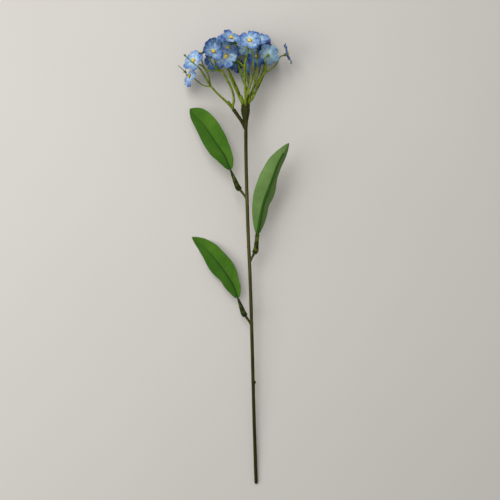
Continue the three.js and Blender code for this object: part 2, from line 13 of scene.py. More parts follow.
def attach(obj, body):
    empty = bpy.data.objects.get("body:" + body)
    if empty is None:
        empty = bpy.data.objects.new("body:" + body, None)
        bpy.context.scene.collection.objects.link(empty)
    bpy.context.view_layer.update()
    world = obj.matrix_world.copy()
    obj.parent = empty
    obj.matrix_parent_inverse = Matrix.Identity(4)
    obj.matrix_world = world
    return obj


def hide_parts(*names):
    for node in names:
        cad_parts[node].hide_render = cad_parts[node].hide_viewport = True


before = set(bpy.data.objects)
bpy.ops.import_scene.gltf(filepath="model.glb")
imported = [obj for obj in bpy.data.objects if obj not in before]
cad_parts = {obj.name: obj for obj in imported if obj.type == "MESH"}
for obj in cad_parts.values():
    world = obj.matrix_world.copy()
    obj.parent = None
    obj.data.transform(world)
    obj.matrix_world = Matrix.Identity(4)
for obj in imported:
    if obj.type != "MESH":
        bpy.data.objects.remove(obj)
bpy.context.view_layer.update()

MM = 0.001

# The camera looks straight down. At SCALED_LEVEL over the surface, a pixel covers MM_PER_PIXEL.
CAMERA_PLACE = (20, 14, 1000)
SCALED_LEVEL = 20
MM_PER_PIXEL = 1.32
IMAGE_SIZE = 500
SENSOR_WIDTH = 36

# The lights, in metres and watts: name, place, what it points at, size and power
LIGHTS = [
    ("key", (-0.4, 0.8, 1.45), (-0.05, 0, 0), 1.1, 15),
    ("fill", (-1.2, -0.15, 1.1), (-0.1, -0.1, 0), 1.2, 10),
]
ROOM_COLOUR = (1, 0.985, 0.96, 1)
ROOM_STRENGTH = 0.34

# Stem and sprays
STEM_RADIUS = 2.25
CROWN_RADIUS = 5.6
COLLAR_RADIUS = 2.5
ROOT_RADIUS = 1.2
ROOT_DEPTH = 6
HUB_RADIUS = 2.35
LIMB_RADIUS = 1.45
STALK_RADIUS = 1
TIP_RADIUS = 0.8
CALYX_LENGTH = 3.8
PIN_RADIUS = 0.55
PIN_HEIGHT = 1.05
NECK_LENGTH = 8
SEPAL_COUNT = 5
PEG_RADIUS = 1.3
LIMB_SIDES = 14
STALK_SIDES = 12
LINE_STEPS = 8
SPRAY_GRAIN = 0.32
STEM_GRAIN = 0.34

# Blooms
PETAL_COUNT = 5
PETAL_LENGTH = 14.4
PETAL_HALF_WIDTH = 6.1
NOTCH_SHARE = 0.256
NOTCH_ACROSS = 0.43
WIDEST_SHARE = 0.72
HOLE_RADIUS = 1
CLOTH_BACK = 0.25
CLOTH_FRONT = 0.55
DISH_RISE = 2
CUP_RISE = 0.9
CREASE_DEPTH = 0.32
FOLD_HEIGHT = 0.2
RUFFLE_HEIGHT = 0.5
CURL_HEIGHT = 1.5
CRUMPLE_HEIGHT = 1.1
EYE_RADIUS = 2.5
EYE_BASE = 1.3
EYE_POINT = 6.4
THREADED_BORE_RADIUS = 1.2

# Leaves
BLADE_BACK = 0.65
BLADE_FRONT = 0.1
SOCKET_DEPTH = 5
BULB_RADIUS = 3.6
VEIN_SPACING = 8.5
VEIN_DEPTH = 0.06
QUILT_HEIGHT = 0.07
GROOVE_DEPTH = 0.3
EDGE_CURL = 0.5

# The main stem, from its cut end on the surface up to the crown
STEM_LINE = [
    (28.2, -298, 2.25), (25.6, -216, 7.8), (23.3, -130, 13.9), (20.5, -34, 20.6),
    (17, 51, 26.5), (14.8, 134, 32.3), (14.6, 172, 35), (14.2, 190, 36.8),
]
CROWN_CENTRE = (14.2, 190, 36.8)
CROWN_LENGTH = 8
BRANCH_LINE = [(14.6, 170, 35), (9.5, 180.5, 35.6), (3.5, 189.5, 36.3), (-0.4, 195, 36.8)]
STUBS = [
    ((24.4, -166, 11.3), (27.3, -160.5, 12.2), 1.5),
    ((18.4, 18, 24.3), (15.6, 18.5, 25), 0.9),
]

# Where each spray is seated: the mouth of its bore and the way that it points
SEATS = {
    "spray_left": ((-1.6, 196.7, 37), (-0.58, 0.81, 0.03)),
    "spray_front": ((14.2, 199.5, 40.8), (0, 0.99, 0.14)),
    "spray_leaning": ((10.7, 202, 37.6), (-0.16, 0.98, 0)),
    "spray_right": ((17.8, 203, 37.6), (0.16, 0.98, 0)),
    "spray_back": ((14.2, 202, 34.8), (0, 0.98, -0.14)),
}

# Each bloom: the middle of its calyx rim, the way it faces, its turn in degrees, how pale its cloth
# is drawn, which also holds painted shade (lowest for blooms deep in the head's shade) and painted
# light (highest for one lit from behind), and how far its petals' tips bend forward
Bloom = namedtuple("Bloom", "rim faces turn paleness bend")
BLOOMS = [Bloom(*row) for row in [
    ((-52.4, 257.7, 40.5), (-0.5, 0.3, 0.8), 7, 0.8, 0),
    ((-58.2, 241.8, 24), (-0.82, 0.29, 0.49), 54, 0.75, -3),
    ((-44.3, 270.8, 24.5), (-0.1, 0.93, 0.35), 24, 0.55, 0),
    ((-27.2, 263.7, 64), (0.5, 0.3, 0.81), 66, 0.5, 1.5),
    ((-26.2, 271, 49.5), (-0.45, 0.6, -0.66), 40, 0.2, 0),
    ((-9.5, 277.6, 28.5), (0.4, 0.15, 0.9), 62, 0.45, 0),
    ((-10.8, 263.5, 48), (0.05, -0.58, 0.81), 69, 0.85, 2.5),
    ((-25.4, 262.6, 20.5), (-0.2, 0.05, 0.98), 31, 0.3, 0),
    ((19.5, 276, 68), (0.1, 0.4, 0.91), 70, 0.65, 0),
    ((-4.5, 286.1, 43), (0.15, 0.7, 0.7), 41, 0.6, 0.5),
    ((36, 276.7, 10), (0.2, 0.1, -0.97), 40, 0.1, 0),
    ((-18.6, 287.8, 12), (-0.2, 0.45, 0.87), 12, 0.2, 0),
    ((17, 283, 11), (0.1, 0.3, 0.95), 30, 0.5, 0),
    ((30.2, 285.6, 38), (0.1, 0.66, 0.74), 4, 0.75, 0),
    ((33, 291, 19), (0.1, 0.6, 0.8), 52, 0.25, 0),
    ((43.1, 263.3, 48.4), (0.4, 0.58, -0.71), 36, 0.85, 1),
    ((28.8, 267.2, 28), (0.1, 0.1, 0.99), 54, 0, 0),
    ((67.2, 270, 28.5), (0.93, 0.35, 0.12), 20, 0.25, 0),
    ((12.3, 256.2, 20), (0.9, -0.1, -0.4), 12, 0, 0),
    ((17.5, 272.4, 52), (0, 0.8, -0.6), 54, 1.0, 0),
    ((1.4, 283.7, 18.5), (0.1, 0.05, 0.99), 66, 0.4, 0),
    ((47, 273, 26), (0.85, 0.2, 0.3), 0, 0.3, 0),
    ((0.4, 263.5, 14), (-0.6, -0.3, -0.74), 10, 0, 0),
]]

# The bloom that has slid down its stalk
SLID_BLOOM = 2

# Single petals, as (bloom, petal), and how much further forward their tips bend
FOLDED_PETALS = {(7, 0): 12}

# The stalks of each spray. A limb carries others, and a stalk ends in the calyx of its bloom.
SPRAYS = {
    "spray_left": {
        "limbs": [
            [(-3, 198.7, 37), (-12.4, 208, 36), (-21.8, 217, 34), (-27.2, 223, 33), (-32, 228.5, 32)],
            [(-2.4, 199.4, 37.4), (-0.9, 208.6, 38), (-2.8, 219.6, 39), (-7.4, 230, 40),
             (-14.3, 242.2, 41.5), (-16.1, 245, 42)],
        ],
        "stalks": {
            1: [(-31.5, 228, 32), (-34.5, 242.6, 32), (-39.5, 250.5, 32), (-44, 255, 32.5)],
            3: [(-16.1, 245, 42), (-26, 246, 40), (-36, 248.5, 34), (-41, 256, 22.5)],
            4: [(-16.1, 245, 42), (-24.5, 249, 46), (-31, 256, 53)],
            5: [(-16.1, 245, 42), (-22, 250, 39), (-25.5, 258, 43)],
            8: [(-15.6, 244, 41.5), (-20.5, 247.5, 32), (-23.2, 251.5, 24), (-24, 257, 16)],
        },
        "bare": [(-31.5, 228, 32), (-38.6, 238.7, 38.5), (-42.8, 244.5, 47), (-46.2, 247.6, 53),
                 (-52, 252, 55), (-57.5, 256.8, 54.5), (-62, 261.2, 53.5)],
        "threaded": [(-30.5, 227, 32), (-42.5, 231, 23), (-53.4, 240.1, 20.6), (-58.2, 241.8, 24),
                     (-62.9, 243.5, 27.3), (-66, 248, 30), (-73.5, 254, 35)],
    },
    "spray_front": {
        "limbs": [[(14.2, 204, 41), (14.1, 219.5, 44), (13.3, 238.1, 49.5), (12.7, 248.3, 52)]],
        "stalks": {
            6: [(12.7, 248.3, 52), (7, 256, 42), (1.5, 262, 26), (-7.5, 271.5, 19.5)],
            9: [(14.2, 206, 41.5), (20, 223.5, 45), (22.6, 238.4, 48), (24, 250, 52), (24, 262, 56)],
            10: [(14.2, 206, 41.5), (17.3, 222, 44), (16, 240, 43), (13.5, 258, 38),
                 (12, 270, 33), (9, 280, 34), (2, 283, 34)],
            20: [(12.7, 248.3, 52), (15.2, 256.7, 56)],
        },
    },
    "spray_leaning": {
        "limbs": [[(10.4, 204, 37.6), (6, 212.4, 37.6), (2.8, 222.3, 37), (-0.6, 230.5, 36.5),
                   (-4.9, 237, 36)]],
        "stalks": {
            7: [(6, 212.4, 37.6), (-1, 226, 41), (-6.5, 240, 40), (-11, 257, 36)],
            12: [(10.4, 205, 37.6), (5, 222, 31), (-3, 240, 27), (-9, 254, 18), (-13, 265, 10),
                 (-15.5, 275, 6)],
            21: [(10, 207, 37.6), (3.5, 222, 35), (-3, 238, 32), (-9.5, 252, 20),
                 (-9.5, 266, 11), (-8, 277, 8)],
        },
    },
    "spray_right": {
        "limbs": [[(17.9, 205, 37.6), (22.6, 209.4, 38), (26.5, 217.4, 38), (30, 227.2, 37.5),
                   (35.9, 239.2, 37), (39.9, 244.6, 37)]],
        "stalks": {
            14: [(22.6, 209.4, 38), (26.5, 235.5, 41), (29.5, 250, 40), (29.4, 266, 36.5)],
            15: [(18.1, 206.5, 37.6), (24, 222, 34), (33, 240, 29), (38.5, 254, 21),
                 (40, 268, 18), (37.5, 281, 15)],
            16: [(39.9, 244.6, 37), (41, 250, 46)],
            18: [(39.9, 244.6, 37), (48.2, 249.4, 35), (54.5, 256.5, 31)],
            22: [(22.6, 209.4, 38), (31, 226, 34), (38, 243, 32), (39.5, 255, 27), (39, 263, 24)],
        },
    },
    "spray_back": {
        "limbs": [[(14.2, 204, 34.4), (14.4, 215, 32.5), (14.6, 226, 31)]],
        "stalks": {
            13: [(14.4, 215, 32.5), (18.5, 236, 24), (18.5, 250, 15), (17.5, 266, 5)],
            17: [(14.2, 205, 34.4), (18, 220, 30), (23, 238, 24), (27, 254, 18)],
            19: [(14.6, 226, 31), (12, 240, 29), (8, 250, 25)],
            23: [(14.6, 226, 31), (9, 240, 26), (5.5, 254, 22)],
            11: [(14.3, 206, 34.4), (22, 222, 27), (29, 240, 22), (33, 254, 18)],
        },
    },
}

# The leaves. Half widths are given at even steps from base to tip, on the left and on the right of
# the rib as seen from the blade's front face. The two folds are in degrees. A blade lies on the
# surface from the share flat_from of its length, and at 2 nowhere. Its rib reaches to the share
# rib_end, and thins between the two radii.
LEAVES = [
    {
        "joint": (15.6, 82, 28.7),
        "mouth": (7.2, 92.4, 28.4),
        "rib": [(-5.9, 119.8, 25.8), (-13, 137.6, 24), (-22.2, 151.2, 21.5), (-31.5, 165.3, 18.5),
                (-38.9, 176.4, 16), (-46.5, 186.6, 13), (-60.5, 203, 8)],
        "left": [2.6, 9.2, 13, 15, 15.2, 14.8, 13.4, 11.8, 10, 7, 0],
        "right": [3, 8.2, 10.8, 13.9, 16, 17.1, 17.4, 16.8, 15.2, 11, 0],
        "front": (0, 0, 1), "fold": (12, 12), "wave": 0.6, "flat_from": 2,
        "rib_end": 0.88, "rib_radii": (1.04, 0.48),
    },
    {
        "joint": (19.2, -2.7, 22.8),
        "mouth": (25.4, 9.4, 25.4),
        "rib": [(30, 36, 30.5), (34, 57.8, 34), (38.3, 77.1, 38), (44.5, 94.1, 41),
                (49.9, 108.6, 44), (55.1, 123.2, 46), (59.4, 131.9, 47), (69.9, 151.3, 48)],
        "left": [3, 9, 11, 11, 14, 12.5, 8.5, 8, 8, 6, 0],
        "right": [3, 8.3, 12, 14.3, 16.5, 17.3, 17, 15, 12, 7, 0],
        "front": (0, 0, -1), "fold": (48, 6), "wave": 1.2, "flat_from": 2,
        "rib_end": 0.88, "rib_radii": (2.2, 0.8),
    },
    {
        "joint": (22, -85, 17),
        "mouth": (14.2, -73.6, 16.8),
        "rib": [(3.6, -49, 14.7), (-1.1, -35.7, 12.6), (-8.8, -22.2, 10.4), (-17.4, -10.4, 8),
                (-26, 0.6, 5.6), (-34.7, 10.9, 3.2), (-43.2, 19.5, 1.2), (-50, 25, 0.8),
                (-58.4, 31.5, 0.8)],
        "left": [3, 8.8, 11.3, 11.6, 13.6, 14.4, 13, 10.6, 8.4, 5.2, 0],
        "right": [3, 8, 10.5, 14.1, 16.3, 15.8, 15, 14, 11, 7, 0],
        "front": (0, 0, 1), "fold": (10, 10), "wave": 0.7, "flat_from": 0.82,
        "rib_end": 0.62, "rib_radii": (1.04, 0.48),
    },
]


# Small helpers

def blend(start, end, share):
    return start + (end - start) * share


def clamp(value):
    return max(0.0, min(1.0, value))


def smooth(value, low, high):
    """0 below low, 1 above high, and an even rise between them."""
    share = clamp((value - low) / (high - low))
    return share * share * (3 - 2 * share)


def fade(value, low, high):
    """1 below low, 0 above high, and an even fall between them."""
    return smooth(-value, -high, -low)


def way_of(values):
    return Vector(values).normalized()


def angles_round(count):
    """Even angles round a full turn."""
    return [2 * math.pi * step / count for step in range(count)]


def srgb(red, green, blue):
    """A screen colour, 0 to 255, as the linear colour that a shader takes."""
    def linear(value):
        value /= 255
        return value / 12.92 if value <= 0.04045 else ((value + 0.055) / 1.055) ** 2.4
    return (linear(red), linear(green), linear(blue), 1)


# Smooth lines

def cubic(start, end, leave, arrive, share):
    """Runs from start to end, with the given slopes at both."""
    squared = 3 * (end - start) - 2 * leave - arrive
    cubed = 2 * (start - end) + leave + arrive
    return start + leave * share + squared * share ** 2 + cubed * share ** 3


def curve_point(before, start, end, after, share):
    """A point on a centripetal curve from start to end."""
    first = math.sqrt((start - before).length)
    middle = math.sqrt((end - start).length)
    last = math.sqrt((after - end).length)
    leave = (start - before) / first - (end - before) / (first + middle) + (end - start) / middle
    arrive = (end - start) / middle - (after - start) / (middle + last) + (after - end) / last
    return cubic(start, end, leave * middle, arrive * middle, share)


def smooth_line(points, steps=LINE_STEPS):
    """Points along a smooth curve through the given ones, with a few steps for each span."""
    knots = [Vector(point) for point in points]
    knots = [2 * knots[0] - knots[1], *knots, 2 * knots[-1] - knots[-2]]
    line = []
    for before, start, end, after in zip(knots, knots[1:], knots[2:], knots[3:]):
        line += [curve_point(before, start, end, after, step / steps) for step in range(steps)]
    return line + [knots[-2]]


class Route:
    """A smooth curve that is read by the share of its length."""

    def __init__(self, points):
        self.line = smooth_line(points, 60)
        self.reach = [0.0]
        for start, end in zip(self.line, self.line[1:]):
            self.reach.append(self.reach[-1] + (end - start).length)
        self.length = self.reach[-1]

    def at(self, share):
        target = clamp(share) * self.length
        step = 1
        while step < len(self.reach) - 1 and self.reach[step] < target:
            step += 1
        gap = self.reach[step] - self.reach[step - 1]
        return self.line[step - 1].lerp(self.line[step], (target - self.reach[step - 1]) / gap)

    def way(self, share):
        return (self.at(share + 0.004) - self.at(share - 0.004)).normalized()


# Mesh building

class Shell:
    """Closed skins laid through loops of spots. A spot is a place and the values painted on it."""

    def __init__(self, *value_names):
        self.value_names = value_names
        self.spots = []
        self.faces = []

    def skin(self, loops, is_ring=False):
        """Joins loops of equally many spots. is_ring joins the last loop to the first."""
        start = len(self.spots)
        size = len(loops[0])
        for loop in loops:
            self.spots += loop
        pairs = len(loops) if is_ring else len(loops) - 1
        for row in range(pairs):
            here = start + row * size
            there = start + (row + 1) % len(loops) * size
            for side in range(size):
                after = (side + 1) % size
                self.faces.append((here + side, here + after, there + after, there + side))
        if not is_ring:
            self.faces.append(tuple(range(start + size - 1, start - 1, -1)))
            self.faces.append(tuple(range(start + (len(loops) - 1) * size, start + len(loops) * size)))

    def mesh(self, name):
        made = bpy.data.meshes.new(name)
        places = [tuple(spot[0] * MM) for spot in self.spots]
        made.from_pydata(places, [], self.faces)
        for number, value_name in enumerate(self.value_names):
            layer = made.attributes.new(value_name, "FLOAT", "POINT")
            layer.data.foreach_set("value", [spot[number + 1] for spot in self.spots])
        made.shade_smooth()
        made.validate()
        return made


def add_object(name, data):
    made = bpy.data.objects.new(name, data)
    bpy.context.scene.collection.objects.link(made)
    return made


def place_piece(name, mesh, material, node):
    """One finished piece that stands for a CAD node."""
    mesh.name = name
    mesh.materials.append(material)
    piece = add_object(name, mesh)
    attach(piece, "root")
    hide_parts(node)


def moulded(shell, grain):
    """The shell's overlapping skins run together, as plastic from one mould."""
    holder = add_object("holder", shell.mesh("rough"))
    remesh = holder.modifiers.new("fuse", "REMESH")
    remesh.mode = "VOXEL"
    remesh.voxel_size = grain * MM
    remesh.use_smooth_shade = True
    soften = holder.modifiers.new("soften", "SMOOTH")
    soften.factor = 0.5
    soften.iterations = 4
    graph = bpy.context.evaluated_depsgraph_get()
    made = bpy.data.meshes.new_from_object(holder.evaluated_get(graph))
    bpy.data.objects.remove(holder)
    return made


def joined(meshes):
    """One mesh out of several."""
    whole = bpy.data.meshes.new("joined")
    places = []
    faces = []
    for mesh in meshes:
        start = len(places)
        places += [tuple(vertex.co) for vertex in mesh.vertices]
        faces += [tuple(start + corner for corner in face.vertices) for face in mesh.polygons]
    whole.from_pydata(places, [], faces)
    whole.shade_smooth()
    return whole


def rings_along(stations, sides, section=None):
    """Loops round a line of (place, radius) stations, carried along without twisting.

    section(station number, angle) scales the radius.
    """
    places = [station[0] for station in stations]
    last = len(places) - 1
    ways = []
    for number in range(last + 1):
        ways.append((places[min(number + 1, last)] - places[max(number - 1, 0)]).normalized())
    side = Vector((0, 0, 1)).cross(ways[0])
    if side.length < 0.1:
        side = Vector((1, 0, 0))
    side.normalize()
    loops = []
    for number, (place, radius) in enumerate(stations):
        if number:
            side = ways[number - 1].rotation_difference(ways[number]) @ side
        up = ways[number].cross(side)
        loop = []
        for angle in angles_round(sides):
            reach = radius * (section(number, angle) if section else 1)
            loop.append((place + side * reach * math.cos(angle) + up * reach * math.sin(angle),))
        loops.append(loop)
    return loops


def tapered(line, start_radius, end_radius):
    """Stations along a line that thins evenly."""
    last = len(line) - 1
    return [(place, blend(start_radius, end_radius, step / last)) for step, place in enumerate(line)]


def knuckle(place, radius, way):
    """A small rounded swelling where stalks part."""
    middle = Vector(place)
    stations = []
    count = 7
    for step in range(count):
        angle = math.pi * (step + 0.5) / count
        stations.append((middle - way * 1.5 * radius * math.cos(angle), radius * math.sin(angle)))
    return rings_along(stations, STALK_SIDES)


# Materials

class Paint:
    """A node material round one Principled shader, whose even settings are given by name."""

    def __init__(self, name, **settings):
        self.material = bpy.data.materials.new(name)
        self.material.use_nodes = True
        self.tree = self.material.node_tree
        self.shader = self.tree.nodes["Principled BSDF"]
        self.place = self.node("ShaderNodeTexCoord").outputs["Object"]
        for name, value in settings.items():
            self.set(name.replace("_", " "), value)

    def node(self, kind, inputs=None, **settings):
        """A new node, with its inputs by name or number and its own settings."""
        made = self.tree.nodes.new(kind)
        for key, value in settings.items():
            setattr(made, key, value)
        for key, value in (inputs or {}).items():
            self.feed(made.inputs[key], value)
        return made

    def feed(self, socket, value):
        """Links a socket's output, or sets a plain value."""
        if isinstance(value, bpy.types.NodeSocket):
            self.tree.links.new(value, socket)
        else:
            socket.default_value = value

    def set(self, name, value):
        """Sets or feeds one of the shader's inputs."""
        self.feed(self.shader.inputs[name], value)

    def math(self, operation, first, second=0.0, third=0.0):
        values = {0: first, 1: second, 2: third}
        return self.node("ShaderNodeMath", values, operation=operation).outputs[0]

    def between(self, value, low, high, start=0.0, end=1.0):
        """The value from low to high turned into start to end, held at both ends."""
        values = {"Value": value, "From Min": low, "From Max": high, "To Min": start, "To Max": end}
        made = self.node("ShaderNodeMapRange", values, interpolation_type="SMOOTHSTEP")
        return made.outputs["Result"]

    def mix(self, share, first, second, strength=1):
        """The first colour turned into the second by a share, which strength scales."""
        if strength != 1:
            share = self.math("MULTIPLY", share, strength)
        values = {"Factor": share, 6: first, 7: second}
        return self.node("ShaderNodeMix", values, data_type="RGBA").outputs[2]

    def ramp(self, value, stops):
        """Screen colours along a value. Each stop is a position, red, green and blue."""
        made = self.node("ShaderNodeValToRGB", {"Fac": value})
        points = made.color_ramp.elements
        while len(points) < len(stops):
            points.new(1)
        for point, (position, *colour) in zip(points, stops):
            point.position = position
            point.color = srgb(*colour)
        return made.outputs["Color"]

    def value(self, name):
        """A value painted on the mesh."""
        return self.node("ShaderNodeAttribute", attribute_name=name).outputs["Fac"]

    def vector(self, across, along, depth):
        return self.node("ShaderNodeCombineXYZ", {"X": across, "Y": along, "Z": depth}).outputs[0]

    def along_stem(self):
        """Where along the stem a point is, in metres."""
        return self.node("ShaderNodeSeparateXYZ", {0: self.place}).outputs["Y"]

    def noise(self, scale, detail=2.0, place=None):
        values = {"Vector": place or self.place, "Scale": scale, "Detail": detail}
        return self.node("ShaderNodeTexNoise", values).outputs["Fac"]

    def stretched(self, scale, detail, stretch):
        """Noise drawn out by a scale on each axis."""
        mapping = self.node("ShaderNodeMapping", {"Vector": self.place, "Scale": stretch})
        return self.noise(scale, detail, mapping.outputs[0])

    def bump(self, height, distance, strength):
        """Relief of a height in millimetres, over any relief that is there already."""
        values = {"Height": height, "Distance": distance * MM, "Strength": strength}
        made = self.node("ShaderNodeBump", values)
        for link in self.shader.inputs["Normal"].links:
            self.feed(made.inputs["Normal"], link.from_socket)
        self.set("Normal", made.outputs["Normal"])

    def weave(self, across, along, pitch):
        """Crossed threads: a height from 0 to 1 over two coordinates in millimetres."""
        turns = 2 * math.pi / pitch
        warp = self.math("SINE", self.math("MULTIPLY", across, turns))
        weft = self.math("SINE", self.math("MULTIPLY", along, turns))
        return self.math("MULTIPLY_ADD", self.math("MULTIPLY", warp, weft), 0.5, 0.5)


def petal_paint():
    """Dyed cloth: pale at the throat, clouded and streaked blue, deeper at the rim, dull behind.
    Each bloom's tone also paints shade on shaded blooms and light on one lit from behind.
    """
    paint = Paint("petal_cloth", Roughness=0.8, Specular_IOR_Level=0.2, Sheen_Weight=0.12,
                  Sheen_Roughness=0.4)
    reach = paint.value("reach")
    across = paint.value("across")
    rim = paint.value("rim")
    tone = paint.value("tone")
    back = paint.value("back")
    seed = paint.math("MULTIPLY", tone, 41)
    streaks = paint.noise(1, 3, paint.vector(paint.math("MULTIPLY", across, 1.5),
                                             paint.math("MULTIPLY", reach, 2.6), seed))
    clouds = paint.noise(190, 3)
    bleed = paint.math("ADD", paint.math("MULTIPLY_ADD", streaks, 0.5, -0.25),
                       paint.math("MULTIPLY_ADD", clouds, 1.15, -0.61))
    # painted shade and light: each bloom's tone shifts all of its cloth darker or paler
    shift = paint.math("MULTIPLY_ADD", tone, -0.5, 0.22)
    spread = paint.math("MULTIPLY_ADD", reach, 0.6, 0.25)
    dye = paint.math("ADD", paint.math("ADD", spread, bleed), shift)
    colour = paint.ramp(dye, [
        (0.0, 214, 228, 224),
        (0.2, 176, 204, 224),
        (0.42, 138, 172, 212),
        (0.68, 94, 130, 190),
        (1.0, 34, 62, 122),
    ])
    edge = paint.math("MULTIPLY", paint.between(rim, 0.2, 0.0),
                      paint.math("MULTIPLY_ADD", tone, -0.3, 0.6))
    colour = paint.mix(edge, colour, srgb(60, 86, 158))
    back_colour = paint.ramp(dye, [
        (0.0, 168, 196, 200),
        (0.4, 130, 164, 190),
        (1.0, 48, 80, 130),
    ])
    colour = paint.mix(back, colour, back_colour)
    paint.set("Base Color", colour)
    paint.bump(paint.weave(across, paint.math("MULTIPLY", reach, PETAL_LENGTH), 0.5), 0.03, 0.6)
    paint.bump(clouds, 0.5, 0.7)
    return paint.material


def eye_paint():
    """Moulded yellow bead, darker orange towards its foot, with a greenish point."""
    paint = Paint("eye_plastic", Roughness=0.5)
    rise = paint.value("rise")
    speckle = paint.noise(1400, 3)
    level = paint.math("ADD", rise, paint.math("MULTIPLY_ADD", speckle, 0.22, -0.11))
    colour = paint.ramp(level, [
        (0.0, 150, 84, 14),
        (0.2, 214, 140, 20),
        (0.38, 240, 205, 38),
        (0.7, 244, 222, 66),
        (1.0, 176, 180, 60),
    ])
    paint.set("Base Color", colour)
    paint.bump(speckle, 0.25, 0.7)
    return paint.material


def spray_paint():
    """Moulded yellow-green, olive where the sprays are seated, with dark patches of painted shade and
    pale streaks of painted highlight.
    """
    paint = Paint("spray_plastic", Roughness=0.5, Specular_IOR_Level=0.15)
    patches = paint.noise(170, 3)
    streaks = paint.stretched(800, 2, (1, 0.1, 1))
    level = paint.math("MULTIPLY_ADD", patches, 0.02, paint.along_stem())
    colour = paint.ramp(paint.between(level, 0.2, 0.3), [
        (0.0, 86, 102, 4),
        (0.2, 98, 117, 8),
        (0.5, 104, 125, 14),
        (1.0, 100, 126, 28),
    ])
    # painted shade: dark patches, spread at random, for the shadow among the stalks
    shade = paint.between(patches, 0.42, 0.66)
    colour = paint.mix(shade, colour, srgb(46, 62, 2), 0.75)
    # painted highlight: pale streaks along the stalks, for glints of light on the plastic
    painted_glints = paint.between(streaks, 0.42, 0.68)
    colour = paint.mix(painted_glints, colour, srgb(164, 182, 56), 0.4)
    paint.set("Base Color", colour)
    paint.bump(paint.noise(900, 3), 0.12, 0.5)
    paint.bump(streaks, 0.1, 0.4)
    return paint.material


def stem_paint():
    """Olive plastic: dark at the cut end, paler further up and dark again round the crown."""
    paint = Paint("stem_plastic", Specular_IOR_Level=0.1)
    patches = paint.stretched(60, 4, (1, 0.25, 1))
    streaks = paint.stretched(650, 2, (1, 0.03, 1))
    level = paint.math("MULTIPLY_ADD", patches, 0.05, paint.along_stem())
    colour = paint.ramp(paint.between(level, -0.3, 0.215), [
        (0.0, 46, 44, 4),
        (0.45, 60, 58, 12),
        (0.75, 84, 82, 40),
        (0.93, 70, 72, 30),
        (0.97, 60, 64, 18),
        (1.0, 50, 54, 10),
    ])
    colour = paint.mix(paint.between(patches, 0.5, 0.72), colour, srgb(112, 104, 48), 0.4)
    colour = paint.mix(paint.between(streaks, 0.42, 0.62, 0, 0.55), colour, srgb(30, 32, 8))
    paint.set("Base Color", colour)
    paint.set("Roughness", paint.between(streaks, 0.3, 0.7, 0.36, 0.6))
    paint.bump(streaks, 0.15, 0.6)
    paint.bump(paint.noise(500, 3), 0.12, 0.4)
    return paint.material


def socket_paint():
    """Dark olive plastic of the leaf stalks, green along the rib."""
    paint = Paint("socket_plastic", Roughness=0.55, Specular_IOR_Level=0.1)
    patches = paint.noise(160, 4)
    colour = paint.ramp(patches, [
        (0.35, 26, 33, 2),
        (0.52, 42, 53, 6),
        (0.66, 86, 100, 24),
    ])
    colour = paint.mix(paint.value("rib"), colour, srgb(42, 84, 14))
    paint.set("Base Color", colour)
    paint.bump(paint.noise(700, 3), 0.2, 0.5)
    return paint.material


def leaf_paint():
    """Leaf cloth: a darker left half of painted shade, a dark midrib, faint side veins and a pale,
    greyish back.
    """
    paint = Paint("leaf_cloth", Roughness=0.75, Specular_IOR_Level=0.15)
    along = paint.value("along")
    across = paint.value("across")
    back = paint.value("back")
    vein = paint.value("vein")
    mottle = paint.noise(45, 4)
    fine = paint.noise(380, 3)
    colour = paint.ramp(mottle, [
        (0.3, 48, 92, 10),
        (0.5, 60, 105, 16),
        (0.7, 76, 116, 26),
    ])
    back_colour = paint.ramp(mottle, [
        (0.3, 88, 118, 60),
        (0.5, 99, 130, 70),
        (0.7, 112, 141, 82),
    ])
    # painted shade: the blade's left half is darkened, as if turned from the light
    shaded_left_half = paint.between(across, 0.6, -1.2)
    colour = paint.mix(shaded_left_half, colour, srgb(38, 84, 8), 0.5)
    side = paint.math("ABSOLUTE", across)
    towards_base = paint.between(along, 92, 15)
    midrib = paint.between(side, paint.math("MULTIPLY_ADD", towards_base, 1.3, 0.5), 0.1)
    midrib = paint.math("MULTIPLY", midrib, paint.between(along, 90, 66))
    halo = paint.between(side, 6, 0.5)
    colour = paint.mix(halo, colour, srgb(36, 80, 14), 0.2)
    colour = paint.mix(vein, colour, srgb(44, 84, 18), 0.12)
    colour = paint.mix(midrib, colour, srgb(20, 46, 4), 0.95)
    back_colour = paint.mix(vein, back_colour, srgb(78, 112, 54), 0.12)
    colour = paint.mix(back, colour, back_colour)
    colour = paint.mix(fine, colour, srgb(110, 150, 60), 0.12)
    paint.set("Base Color", colour)
    paint.bump(paint.weave(across, along, 0.6), 0.03, 0.6)
    paint.bump(vein, -0.1, 0.4)
    paint.bump(fine, 0.1, 0.4)
    return paint.material


def floor_paint():
    """Plain pale paper."""
    paint = Paint("pale_paper", Roughness=0.9, Specular_IOR_Level=0.1)
    tint = paint.noise(4, 2)
    colour = paint.mix(tint, srgb(206, 202, 197), srgb(211, 207, 202))
    paint.set("Base Color", colour)
    paint.bump(paint.noise(600, 3), 0.1, 0.3)
    return paint.material


# Blooms

def petal_edge(turned):
    """Shares of the petal's length and half width on its edge, from its tip (0) to its notch (1)."""
    if turned < 0.5:
        angle = math.pi * turned
        return WIDEST_SHARE + (1 - WIDEST_SHARE) * math.cos(angle), math.sin(angle)
    fall = 2 * turned - 1
    across = NOTCH_ACROSS + (1 - NOTCH_ACROSS) * math.cos(math.pi / 2 * fall) ** 1.15
    return blend(WIDEST_SHARE, NOTCH_SHARE, fall), across


